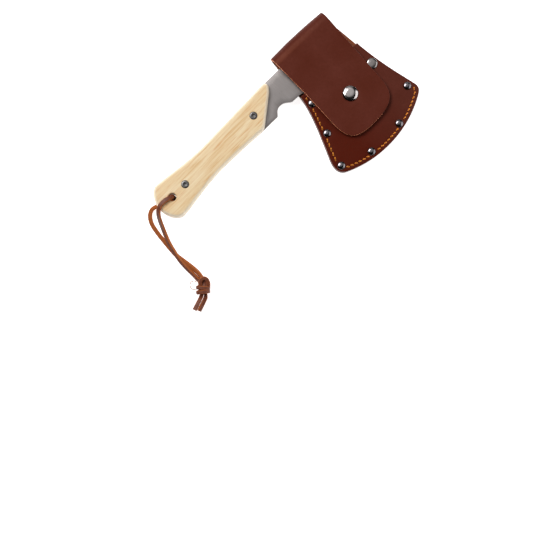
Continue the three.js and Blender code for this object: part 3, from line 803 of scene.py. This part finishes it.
UP_FROM_HOLE = (1, 0, 0)  # the way the lace's grain side faces in the handle's hole
front_strand, front_path = strand(
    "lace_front_strand", FRONT_ROUTE, UP_FROM_HOLE, math.radians(-10), 1.0, "lanyard_front_strand"
)
back_strand, back_path = strand(
    "lace_back_strand", BACK_ROUTE, UP_FROM_HOLE, math.radians(60), 2.0, "lanyard_back_strand"
)
long_tail, _ = strand("lace_long_tail", LONG_TAIL_ROUTE, (0, 0, 1), 0.2, 4.0, "lanyard_long_tail")
short_tail, _ = strand("lace_short_tail", SHORT_TAIL_ROUTE, (0, 0, 1), -0.6, 5.0, "lanyard_short_tail")
knot_piece = knot()

# ------------------------ steel and handle


def steel_outline():
    outline = Outline((38, -14.4))
    trace_butt(outline)
    outline.curve((70, 14.9), (122, 15.9)).line(148, 15.4).curve((160, 14.6), (188.6, 10.6))
    outline.curve((196, -22), (206, -52), circle_point(EDGE_CENTRE, EDGE_RADIUS, math.radians(TOE_ANGLE)))
    outline.arc(EDGE_CENTRE, EDGE_RADIUS, TOE_ANGLE, HEEL_ANGLE)
    outline.curve((148.5, -72), (154, -52), (154.3, -37)).curve((154.6, -24), (150, -17.6), (142.7, -17.2))
    outline.line(135.5, -16.9).curve((131.5, -16.9), (129.5, -11), (122.4, -11))
    outline.curve((117.5, -11), (115.5, -14.8), (113.2, -17)).line(92, -16.8)
    outline.curve((68, -14.9), (38, -14.4))
    return outline.closed()


def trace_butt(outline):
    outline.curve((12, -14.6), (-6, -19.4), (-21, -20.4)).curve((-30, -20.4), (-35.4, -9), (-35.4, 0))
    outline.curve((-34.8, 9), (-28, 20), (-21, 20)).curve((-6, 19.2), (12, 14.6), (38, 14.4))


def main_bevel(place):
    """The height of the main bevel's cone over a point. It runs between two circles at two heights."""
    shift, growth = GRIND_CENTRE - EDGE_CENTRE, GRIND_RADIUS - (EDGE_RADIUS - HONED_WIDTH)
    offset = place - EDGE_CENTRE
    a = shift.length_squared - growth**2
    b = offset.dot(shift) + (EDGE_RADIUS - HONED_WIDTH) * growth
    c = offset.length_squared - (EDGE_RADIUS - HONED_WIDTH) ** 2
    share = (b + math.sqrt(max(0, b * b - a * c))) / a
    return HONED_HALF + share * (STEEL_HALF - HONED_HALF)


def honed_bevel(place):
    from_edge = EDGE_RADIUS - (place - EDGE_CENTRE).length
    return EDGE_HALF + from_edge / HONED_WIDTH * (HONED_HALF - EDGE_HALF)


BEVELS_BELOW = -60  # there is no bevel on the spine's side of this Y


def steel_height(x, y):
    if y > BEVELS_BELOW:
        return STEEL_HALF
    place = Vector((x, y))
    return max(EDGE_HALF, min(STEEL_HALF, main_bevel(place), honed_bevel(place)))


def steel_kind(place):
    if place.y > BEVELS_BELOW or main_bevel(place) > STEEL_HALF:
        return 0
    return 2 if honed_bevel(place) < main_bevel(place) else 1


def bevel_line(centre, radius, outline):
    """The stretch of a circle that crosses the blade as the upper border of a bevel."""
    count = int(math.pi * radius)
    points = [circle_point(centre, radius, math.pi + math.pi * i / count) for i in range(count + 1)]
    return [p for p in points if p.y < BEVELS_BELOW and is_inside(p, outline)]


def steel():
    outline = steel_outline()
    rim = 0.3
    flat = inset(outline, rim * 2)
    lines = [
        bevel_line(GRIND_CENTRE, GRIND_RADIUS, flat),
        bevel_line(EDGE_CENTRE, EDGE_RADIUS - HONED_WIDTH, flat),
    ]
    holes = [((x, 0), SCREW_SEAT_RADIUS - 1, 0) for x in SCREW_PLACES.values()]
    holes.append(((LACE_HOLE_X, 0), LACE_HOLE_RADIUS, 0))
    build = plate(
        outline, steel_height, lambda x, y: -steel_height(x, y),
        top_rim=(rim, 0.1), bottom_rim=(rim, 0.1), kinds=(0, 0, 0),
        spacing=5, holes=holes, lines=lines, steps=2, kind_at=steel_kind,
    )
    materials = [STEEL, BEVEL, HONED]
    make_piece(
        "steel_head_and_tang", build, materials, "hatchet", ["head_and_tang"], smooth=25
    )


def slab_outline():
    outline = Outline((38, -14.4))
    trace_butt(outline)
    outline.curve((70, 14.9), (124.2, 16.1)).arc((124.2, 12.2), 3.9, 90, -35)
    outline.curve((124.5, 5.8), (119, 1.9)).line(97, -14.8)
    outline.curve((94.6, -16.9), (91, -16.7)).curve((68, -14.9), (38, -14.4))
    return outline.closed()


def slab(side):
    """A wooden handle slab, on the front for side 1 and on the back for side -1."""
    inner, outer = SLAB_INNER, SLAB_OUTER
    holes = [((x, 0), SCREW_SEAT_RADIUS, SCREW_SEAT_CHAMFER) for x in SCREW_PLACES.values()]
    holes.append(((LACE_HOLE_X, 0), LACE_HOLE_RADIUS, LACE_HOLE_CHAMFER))
    build = plate(
        slab_outline(), lambda x, y: outer, lambda x, y: inner,
        top_rim=SLAB_ROUND, bottom_rim=(0.2, 0.2), kinds=(0, 0, 0), spacing=7, holes=holes, steps=8,
    )
    lace_hole = Vector((LACE_HOLE_X, 0))
    # the lace hole's wall gets the dark bore material as painted shade
    for number, corners in enumerate(build.faces):
        if all((build.points[i].xy - lace_hole).length < LACE_HOLE_RADIUS + 0.1 for i in corners):
            build.kinds[number] = 1
    for point in build.points:
        point.z *= side
    name = "front" if side > 0 else "back"
    make_piece(f"{name}_wooden_slab", build, [WOOD, BORE_PAINTED_SHADE], "hatchet", [f"{name}_scale"])


def screw_piece(name, node, x, profile):
    turned_piece(name, node, (x, 0), profile, SCREW, "hatchet", sides=60)


def bolt(end, x):
    """A handle screw's bolt, with a six-lobed socket in its head."""
    top = SLAB_OUTER - SCREW_SINK
    lobe = 0.13
    profile = [
        (0, -6), (1.6, -6), (1.6, top - 2.4), (SCREW_RADIUS, top - 2.4), (SCREW_RADIUS, top - 0.35),
        (SCREW_RADIUS - 0.12, top - 0.12), (SCREW_RADIUS - 0.4, top), (2.3, top + 0.05), (1.75, top, lobe),
        (1.6, top - 0.2, lobe), (1.5, top - 1.5, lobe), (0, top - 1.7),
    ]
    screw_piece(f"{end}_screw", f"{end}_handle_bolt", x, profile)


def nut(end, x):
    """The sleeve nut of a handle screw, with a small round hole in the middle of its head."""
    back = -SLAB_OUTER + SCREW_SINK
    sleeve = 2.8
    profile = [
        (0, back + 1), (0.9, back + 1), (1.1, back), (SCREW_RADIUS - 0.4, back),
        (SCREW_RADIUS - 0.1, back + 0.15), (SCREW_RADIUS, back + 0.4), (SCREW_RADIUS, back + 2.4),
        (sleeve, back + 2.4), (sleeve, 8.6), (1.9, 8.6), (1.9, -6.5), (0, -6.5),
    ]
    screw_piece(f"{end}_screw_sleeve", f"{end}_sleeve_nut", x, profile)


steel()
for side in (1, -1):
    slab(side)
for end, x in SCREW_PLACES.items():
    bolt(end, x)
    nut(end, x)

# ------------------------ sheath


def belly_angle(x, y):
    """The direction of a point from the belly's centre."""
    offset_in = Vector((x, y)) - BELLY_CENTRE
    return math.atan2(offset_in.y, offset_in.x)


def trace_belly(outline, toe_side_end):
    """The sheath below its mouth: down the beard side, along the belly and up the toe side."""
    outline.curve((139.6, -40), (129.1, -62), (119, -85)).curve((115.4, -93.5), (115.8, -100), (122, -104))
    heel, toe = belly_angle(122, -104), belly_angle(227.7, -100.8)
    outline.arc(BELLY_CENTRE, BELLY_RADIUS, math.degrees(heel), math.degrees(toe))
    outline.curve((232.3, -98.2), (234.2, -95.5), (232.8, -90))
    outline.curve((229.4, -74), (222.8, -50), toe_side_end)


SEAM_STEPS = 60  # in each run of stitching down the heel side and along the belly


def on_heel_seam(low, high):
    """Close points on the seam down the sheath's heel side, from one share of its length to another."""
    controls = [Vector(p) for p in ((146.3, -20), (143.4, -42), (132.6, -63), (121.2, -92))]
    shares = [low + (high - low) * i / SEAM_STEPS for i in range(SEAM_STEPS + 1)]
    return [bezier(controls, share) for share in shares]


def on_belly_seam(low, high):
    """Close points on the seam along the belly, between two angles in degrees."""
    angles = [math.radians(low + (high - low) * i / SEAM_STEPS) for i in range(SEAM_STEPS + 1)]
    return [circle_point(BELLY_CENTRE, SEAM_RADIUS, angle) for angle in angles]


def seam_runs():
    """The stretches of stitching between the rivets."""
    toe = Outline(circle_point(BELLY_CENTRE, SEAM_RADIUS, math.radians(284.5)), 0.5)
    toe.arc(BELLY_CENTRE, SEAM_RADIUS, 284.5, 299).line(227.4, -96.2).line(229.5, -92)
    return [
        on_heel_seam(0.045, 0.115), on_heel_seam(0.24, 0.58), on_heel_seam(0.685, 0.975),
        on_belly_seam(244.2, 258.3), on_belly_seam(263.2, 279.3), toe.points,
    ]


SEAMS = seam_runs()
to_seam = near([p for run in SEAMS for p in run])


def pressed(x, y):
    """How far the leather is pressed in by the seams and the rivets round the sheath's edge."""
    seam = SEAM_PRESS * math.exp(-(to_seam(x, y) ** 2))
    gaps = [max(0, math.hypot(x - px, y - py) - RIVET_RADIUS) for px, py in RIVET_PLACES]
    rivets = sum(RIVET_PRESS * math.exp(-(gap**2) / 3) for gap in gaps)
    return max(seam, min(rivets, RIVET_PRESS))


def waves(x, y, seed):
    """The slight unevenness of a piece of leather, up to a fifth of a millimetre."""
    return 0.2 * noise.noise(Vector((x / 22, y / 22, seed)))


def front_leather():
    outline = Outline(MOUTH_LEFT)
    trace_belly(outline, MOUTH_RIGHT)
    outline.line(*MOUTH_LEFT)
    lines = [beside for run in SEAMS for beside in (run[::2], offset(run, 1.1), offset(run, -1.1))]
    build = plate(
        outline.closed(), lambda x, y: PANEL_TOP + waves(x, y, 1) - pressed(x, y),
        lambda x, y: POCKET_HALF - 0.25,
        top_rim=(0.9, 0.8), bottom_rim=(0.4, 0.4), kinds=(0, 1, 2), spacing=2.2, lines=lines,
    )
    materials = [PANEL_GRAIN, FLESH, DYED]
    make_piece("front_leather", build, materials, "sheath", ["sheath_front_panel"])


def offset(run, distance):
    """Every second point of a line, moved to its left."""
    moved = []
    for a, b in pairwise(run[::2]):
        along = (b - a).normalized()
        moved.append(a + Vector((-along.y, along.x)) * distance)
    return moved


def welt():
    outline = Outline(MOUTH_LEFT)
    trace_belly(outline, MOUTH_RIGHT)
    toe_side_stop = -81.5
    on_toe_side = lambda p: p.x > 200
    outline.points = [p for p in outline.points if not on_toe_side(p) or p.y < toe_side_stop]
    outline.line(222.8, toe_side_stop)
    toe, heel = belly_angle(222.2, -89.8), belly_angle(131, -95)
    outline.line(*circle_point(BELLY_CENTRE, WELT_INNER_RADIUS, toe))
    outline.arc(BELLY_CENTRE, WELT_INNER_RADIUS, math.degrees(toe), math.degrees(heel))
    outline.line(130.5, -91).curve((137, -68), (146, -42), (148.6, -20.2))
    half = POCKET_HALF - 0.28
    build = plate(
        outline.closed(), lambda x, y: half, lambda x, y: -half,
        top_rim=(0.3, 0.3), bottom_rim=(0.3, 0.3), kinds=(0, 0, 1), spacing=4, steps=2,
    )
    make_piece("welt_strip", build, [FLESH, DYED], "sheath", ["sheath_welt"])


FOLD_LENGTH = math.pi * FOLD_RADIUS
RAW_EDGE, DYED_AND_SHADED_EDGE = 2, 3  # the places of the strap's two kinds of edge in its list of materials: raw, and dark, which on the flap's toe side is painted shade
EDGE_SHADE_FROM = 44  # the flap's raw edge shows from its heel side to this far along the fold; beyond it, on the toe side, the edge is painted dark as shade
HIGHLIGHT_FROM_BACK, HIGHLIGHT_WIDTH = FOLD_LENGTH - 1, 5  # where a painted highlight band runs along the fold, measured along the strap, and its width
FOLD_BULGE = 0.12  # how much further the middle of the fold stands out than its ends


def flat_back(x, y):
    """A point of the back leather on the strap before it is folded: along the fold, and across it."""
    offset_in = Vector((x, y)) - FOLD_LEFT
    return Vector((offset_in.dot(fold_along), offset_in.dot(fold_across)))


def flat_flap(x, y):
    """The same for a point of the flap, which lies beyond the fold."""
    place = flat_back(x, y)
    return Vector((place.x, FOLD_LENGTH - place.y))


def folded(point):
    """A point of the flat strap, with its height on the flesh side, where the folded strap has it."""
    along, across, height = point
    start = (FOLD_LEFT + fold_along * along).to_3d()
    if across <= 0:
        return start + (fold_across * across).to_3d() + Vector((0, 0, height - PANEL_MIDDLE))
    if across >= FOLD_LENGTH:
        back = (fold_across * (FOLD_LENGTH - across)).to_3d()
        return start + back + Vector((0, 0, FLAP_UNDER + LEATHER / 2 - height))
    turn = (across / FOLD_LENGTH - 0.5) * math.pi
    radius = FOLD_RADIUS - height
    middle_share = math.sin(math.pi * min(1, max(0, along / (FOLD_RIGHT - FOLD_LEFT).length)))
    reach = radius * math.cos(turn) * (1 + FOLD_BULGE * middle_share)
    return start + (fold_across * reach).to_3d() + Vector((0, 0, FOLD_CENTRE_Z + radius * math.sin(turn)))


def strap_outline():
    back = Outline(MOUTH_LEFT)
    trace_belly(back, (221.2, MOUTH_RIGHT[1]))
    back.line(218.8, 5).line(*FOLD_RIGHT)
    flap = Outline(FOLD_RIGHT)
    flap.line(216.2, 3).line(213.3, -38).line(211.9, -56).curve((211.5, -82), (205, -89.6), (176, -89.6))
    flap.curve((151.5, -89.5), (145, -83.5), (146, -60)).curve((148.6, -10), FOLD_LEFT)
    strap = Outline(flat_back(*back.points[0]))
    strap.points = [flat_back(*p) for p in back.points]
    strap.line(*flat_flap(*FOLD_RIGHT))
    strap.points += [flat_flap(*p) for p in flap.points[1:]]
    strap.line(0, 0).line(*flat_back(*MOUTH_LEFT))
    return strap.closed()


def snap_dent(along, across):
    """How far the snap pulls the flap's leather in round its cap."""
    distance = (Vector((along, across)) - flat_flap(*SNAP_PLACE)).length
    return 0.4 * math.exp(-max(0, distance - SNAP_RADIUS + 1) ** 2 / 8)


def strap():
    """The back leather, the fold and the flap, cut as one strap and folded over the spine."""
    half = LEATHER / 2
    # the two borders of the fold, clear of its ends
    creases = [[Vector((3 + i * 1.57, across)) for i in range(41)] for across in (0.0, FOLD_LENGTH)]
    build = plate(
        strap_outline(), lambda x, y: half, lambda x, y: -half + waves(x, y, 4) + snap_dent(x, y),
        top_rim=(0.4, 0.4), bottom_rim=(0.5, 0.6), kinds=(1, 0, RAW_EDGE),
        spacing=2.3, lines=creases, edge_steps=2,
    )
    # The back leather's edge and the flap's edge on its toe side get the dark edge material; on the flap's
    # toe side it is painted shade.
    for number, corners in enumerate(build.faces):
        along, across, _ = build.points[corners[0]]
        if build.kinds[number] == RAW_EDGE and (across < FOLD_LENGTH / 2 or along > EDGE_SHADE_FROM):
            build.kinds[number] = DYED_AND_SHADED_EDGE
    # A painted highlight: a lighter band along the fold, stronger at its heel end, added to the rim wear
    # values.
    for number, point in enumerate(build.points):
        strength = 0.9 - 0.3 * point.x / (FOLD_RIGHT - FOLD_LEFT).length
        painted_highlight = strength * math.exp(-(((point.y - HIGHLIGHT_FROM_BACK) / HIGHLIGHT_WIDTH) ** 2))
        build.wear_and_highlight[number] = max(build.wear_and_highlight.get(number, 0), painted_highlight)
    build.points = [folded(p) for p in build.points]
    piece = make_piece(
        "strap_leather", build, [GRAIN, FLESH, CUT, DYED], None,
        ["sheath_back_panel", "flap_fold", "sheath_flap"],
    )
    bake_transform(piece)


def stitches(number, run):
    """One run of saddle stitching, front and back: each stitch dives into the leather at its ends."""
    build = Build()
    length = path_length(run)
    count = max(1, round(length / STITCH_PITCH))
    pitch = length / count
    at = lambda distance: run[min(len(run) - 1, max(0, round(distance / length * (len(run) - 1))))]
    twist = 14  # radians along a stitch, as the thread is laid
    section = oval_section(8, STITCH_HALF_WIDTH, STITCH_HALF_HEIGHT)
    for i in range(count):
        start, end = at((i + 0.5) * pitch - STITCH_LENGTH / 2), at((i + 0.5) * pitch + STITCH_LENGTH / 2)
        across = STITCH_SLANT * Vector((start.y - end.y, end.x - start.x)).normalized()
        start, end = start + across, end - across
        for side, surface in ((1, PANEL_TOP - 0.15), (-1, -PANEL_TOP)):
            path = []
            for step in range(9):
                t = step / 8
                lift = 0.75 * math.sin(math.pi * t) ** 0.5 - 0.35
                path.append((start.lerp(end, t)).to_3d() + Vector((0, 0, surface + side * lift)))
            sweep(build, path, section, [0] * 8, (0, 0, side), twist, unit=1)
    node = f"seam_thread_{number}"
    make_piece(f"stitches_{number}", build, [THREAD], "sheath", [node], smooth=60)


def rivet(number, place):
    """A rivet's domed cap on the front and its matching head and post from the back."""
    seat, top = PANEL_TOP - 0.15, PANEL_TOP + RIVET_HIGH
    cap = [(0, seat), (RIVET_RADIUS - 0.4, seat), (RIVET_RADIUS - 0.05, seat + 0.2)]
    cap += dome(RIVET_RADIUS, seat + 0.55, top, 12)
    turned_piece(f"rivet_{number}_cap", f"rivet_cap_{number}", place, cap, NICKEL)
    low = -seat - 0.2
    head = [(r, -z) for r, z in reversed(dome(RIVET_RADIUS, -low + 0.4, top, 10))]
    head += [(RIVET_RADIUS - 0.05, low - 0.1), (RIVET_RADIUS - 0.4, low)]
    head += [(RIVET_POST_RADIUS, low), (RIVET_POST_RADIUS, seat - 0.1), (0, seat - 0.1)]
    turned_piece(f"rivet_{number}_back", f"rivet_post_{number}", place, head, NICKEL)


def side_rivet():
    seat, radius = PANEL_TOP - 0.15, SIDE_RIVET_RADIUS
    cap = [(0, seat), (radius - 0.5, seat), (radius - 0.1, seat + 0.2), (radius, seat + 0.6)]
    cap += [(radius - 0.25, seat + 1.0), (radius - 0.9, seat + 1.35), (radius - 1.8, seat + 1.55)]
    cap.append((0, seat + 1.75))
    turned_piece("side_rivet_head", "side_rivet_cap", SIDE_RIVET_PLACE, cap, DULL_CHROME)
    post_piece("side_rivet_foot", "side_rivet_post", SIDE_RIVET_PLACE, 4.2)


def post_piece(name, node, place, flange):
    """A post that comes up through the front leather from a flange inside the sheath."""
    low, post = POCKET_HALF - 0.2, 1.1
    profile = [
        (0, low), (flange - 0.1, low), (flange, low + 0.1), (flange, low + 0.4),
        (post, low + 0.5), (post, PANEL_TOP), (0, PANEL_TOP),
    ]
    turned_piece(name, node, place, profile, NICKEL)


def snap():
    """The snap: its cap over the flap, its socket under the flap, and the stud on the front leather."""
    seat = FLAP_TOP - 0.35
    shoulder, crown, radius = seat + 1.25, seat + 2.6, SNAP_RADIUS
    cap = [(0, seat - 2.6), (2, seat - 2.6), (2, seat), (radius - 0.7, seat), (radius - 0.15, seat + 0.2)]
    cap += [(radius, seat + 0.6), (radius - 0.12, seat + 1.0), (radius - 0.6, shoulder + 0.15)]
    cap += [(radius - 1.5, shoulder + 0.6), (radius - 2.6, crown - 0.42), (radius - 4.0, crown - 0.16)]
    cap += [(radius - 6, crown - 0.04), (0, crown)]
    turned_piece("snap_dome", "snap_cap", SNAP_PLACE, cap, CHROME, "flap", sides=72)
    top = FLAP_UNDER + 0.05
    socket = [
        (3.7, top - 0.5), (4.2, top - 1.7), (4.5, top - 2.0), (5.6, top - 2.1), (6.1, top - 1.7),
        (6.2, top - 0.5), (6.0, top), (2.4, top), (2.4, top - 0.5), (3.7, top - 0.5),
    ]
    turned_piece("snap_ring", "snap_socket", SNAP_PLACE, socket, CHROME, "flap")
    face = PANEL_TOP - 0.05
    stud = [
        (1.4, face - 1.5), (2, face - 1.5), (2, face), (4.6, face), (4.9, face + 0.2), (4.8, face + 0.45),
        (3.1, face + 0.6), (2.7, face + 0.8), (3.05, face + 1.15), (2.95, face + 1.4), (2.5, face + 1.55),
        (0, face + 1.6), (0, face - 0.1), (1.4, face - 0.1), (1.4, face - 1.5),
    ]
    turned_piece("snap_knob", "snap_stud", SNAP_PLACE, stud, CHROME)
    post_piece("snap_foot", "snap_post", SNAP_PLACE, 4.8)


front_leather()
welt()
strap()
for number, run in enumerate(SEAMS, 1):
    stitches(number, run)
for number, place in enumerate(RIVET_PLACES, 1):
    rivet(number, place)
side_rivet()
snap()

# ------------------------ floor and light


def floor():
    half = 6
    corners = [(-half, -half, 0), (half, -half, 0), (half, half, 0), (-half, half, 0)]
    s = Shader("white_floor")
    s.set(Base_Color=(0.93, 0.93, 0.93, 1), Roughness=0.9, Specular_IOR_Level=0.1)
    s.set(Emission_Color=(1, 1, 1, 1), Emission_Strength=0.85)
    mesh = bpy.data.meshes.new("floor")
    mesh.from_pydata(corners, [], [(0, 1, 2, 3)])
    mesh.materials.append(s.material)
    piece = bpy.data.objects.new("floor", mesh)
    bpy.context.scene.collection.objects.link(piece)


def softbox(name, place, size, power):
    """A rectangular light above the hatchet, turned to it, with its place and size in metres."""
    light = bpy.data.lights.new(name, "AREA")
    light.shape = "RECTANGLE"
    light.size, light.size_y = size
    light.energy = power
    lamp = bpy.data.objects.new(name, light)
    lamp.location = place
    lamp.rotation_euler = (-Vector(place)).to_track_quat("-Z", "Y").to_euler()
    bpy.context.scene.collection.objects.link(lamp)


def surroundings():
    """A dark studio with a round light panel overhead, and a wide dim one on the key light's side."""
    world = bpy.data.worlds.new("studio")
    world.use_nodes = True
    nodes = Nodes(world.node_tree)
    view = nodes.add("ShaderNodeTexCoord").outputs["Generated"]
    panels = (
        ((0.22, 0.26, 0.94), (0.9, 0.0), (0.945, 0.62), (1.0, 0.62)),
        ((0.35, 0.8, 0.49), (0.7, 0.0), (0.85, 0.2), (1.0, 0.3)),
    )
    greys = []
    for direction, *stops in panels:
        facing = nodes.add("ShaderNodeVectorMath", {0: view, 1: direction}, operation="DOT_PRODUCT")
        greys.append(nodes.ramp(facing.outputs["Value"], *stops))
    both = {0: 1.0, 6: greys[0], 7: greys[1]}
    total = nodes.add("ShaderNodeMix", both, data_type="RGBA", blend_type="ADD")
    nodes.put(nodes.tree.nodes["Background"].inputs["Color"], total.outputs[2])
    bpy.context.scene.world = world


floor()
surroundings()
softbox("key", (-0.1, 1.1, 1.7), (1.2, 0.9), 31)
softbox("fill", (1.15, -1.2, 1.15), (2.0, 1.6), 18)
bpy.context.scene.view_settings.view_transform = "Standard"
